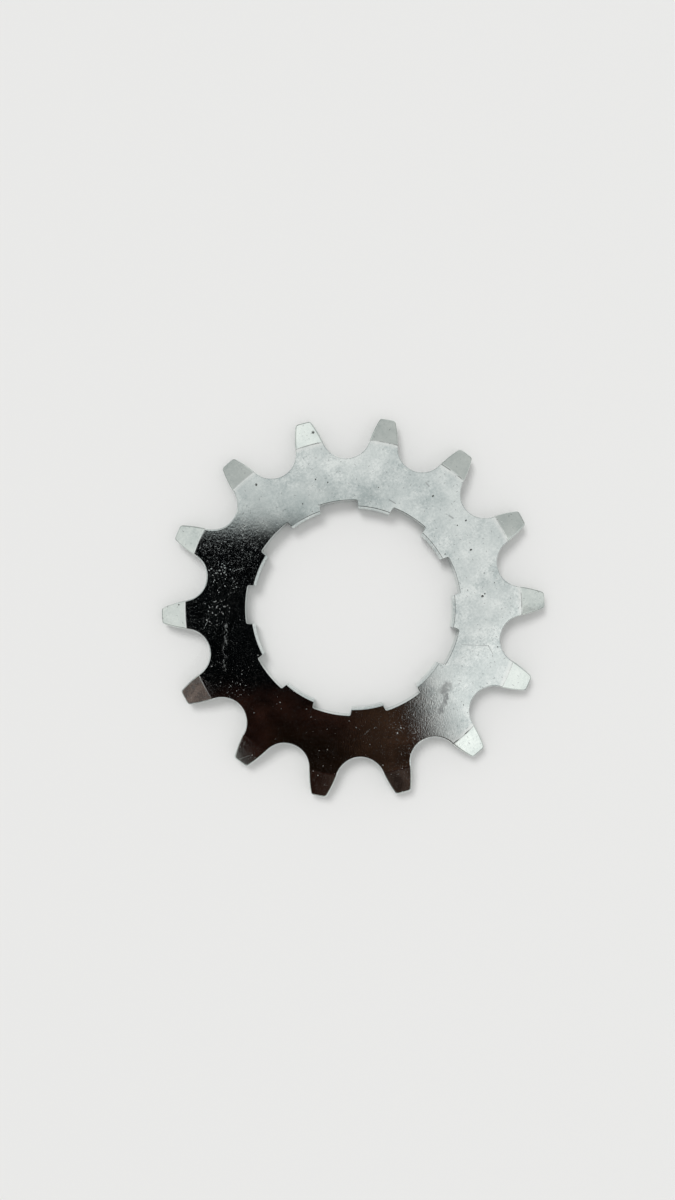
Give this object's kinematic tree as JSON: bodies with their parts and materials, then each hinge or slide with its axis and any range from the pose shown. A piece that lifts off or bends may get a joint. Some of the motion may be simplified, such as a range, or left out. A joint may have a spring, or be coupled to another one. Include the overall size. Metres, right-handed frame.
{
  "type": "bicycle cog",
  "caption": "Flat bright-plated steel bicycle cog with bevelled teeth for a half-inch roller chain and a splined bore.",
  "frame": {"origin": "on the bore's axis, in the plane of the back face", "axes": "+Z along the bore's axis, out of the front face; +X through the middle of a tooth; +Y through the middle of a tooth gap that lies over a land of the spline"},
  "size_m": [0.063, 0.0618, 0.003],
  "materials": {
    "plated_steel": "bright nickel-chrome plate over steel, mirror-like with fine handling scratches, specks and haze"
  },
  "bodies": {
    "root": {"cog": "plated_steel"}
  },
  "joints": []
}
